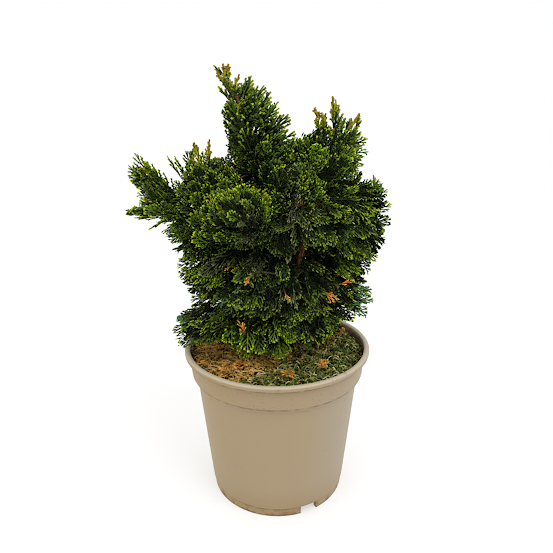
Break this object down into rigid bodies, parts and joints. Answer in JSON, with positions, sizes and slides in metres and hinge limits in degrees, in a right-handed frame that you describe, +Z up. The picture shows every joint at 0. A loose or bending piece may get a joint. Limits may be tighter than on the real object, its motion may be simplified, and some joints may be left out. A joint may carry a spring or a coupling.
{
  "type": "dwarf hinoki cypress in nursery pot",
  "caption": "Small dense evergreen conifer with flat fan sprays, an uneven crown and a leaning top, growing in a round tapered plastic nursery pot.",
  "frame": {"origin": "centre of the pot's flat underside, on the ground", "axes": "+Z up; the front of the plant, as it is first seen, faces -Y; +X is its right-hand side as seen from the front"},
  "size_m": [0.3053, 0.242, 0.521],
  "materials": {
    "pot_plastic": "satin",
    "soil": "matte",
    "bark": "matte",
    "foliage": "matte",
    "new_growth": "matte"
  },
  "bodies": {
    "root": {"bough_back_middle": "bark", "bough_back_skirt": "bark", "bough_back_upper_left": "bark", "bough_back_upper_right": "bark", "bough_back_waist": "bark", "bough_front_left": "bark", "bough_front_right": "bark", "bough_front_skirt": "bark", "bough_front_waist_left": "bark", "bough_left_arm": "bark", "bough_left_dome": "bark", "bough_left_shoulder": "bark", "bough_left_skirt": "bark", "bough_left_waist": "bark", "bough_right_plume": "bark", "bough_right_shoulder": "bark", "bough_right_skirt": "bark", "bough_right_waist": "bark", "foliage_back_middle": "foliage", "foliage_back_middle_left": "foliage", "foliage_back_middle_right": "foliage", "foliage_back_skirt": "foliage", "foliage_back_upper_left": "foliage", "foliage_back_upper_right": "foliage", "foliage_back_waist": "foliage", "foliage_crown_leader": "new_growth", "foliage_crown_top": "foliage", "foliage_front_left": "foliage", "foliage_front_right": "foliage", "foliage_front_skirt": "foliage", "foliage_front_skirt_right": "foliage", "foliage_front_upper": "foliage", "foliage_front_waist_left": "foliage", "foliage_front_waist_right": "foliage", "foliage_left_arm": "foliage", "foliage_left_arm_low": "foliage", "foliage_left_dome": "foliage", "foliage_left_leader": "new_growth", "foliage_left_shoulder": "foliage", "foliage_left_skirt": "foliage", "foliage_left_waist": "foliage", "foliage_right_flank": "foliage", "foliage_right_leader_inner": "new_growth", "foliage_right_leader_middle": "new_growth", "foliage_right_leader_outer": "new_growth", "foliage_right_low_arm": "foliage", "foliage_right_plume": "foliage", "foliage_right_shoulder": "foliage", "foliage_right_skirt": "foliage", "foliage_right_waist": "foliage", "pot": "pot_plastic", "soil": "soil", "trunk": "bark"}
  },
  "joints": []
}
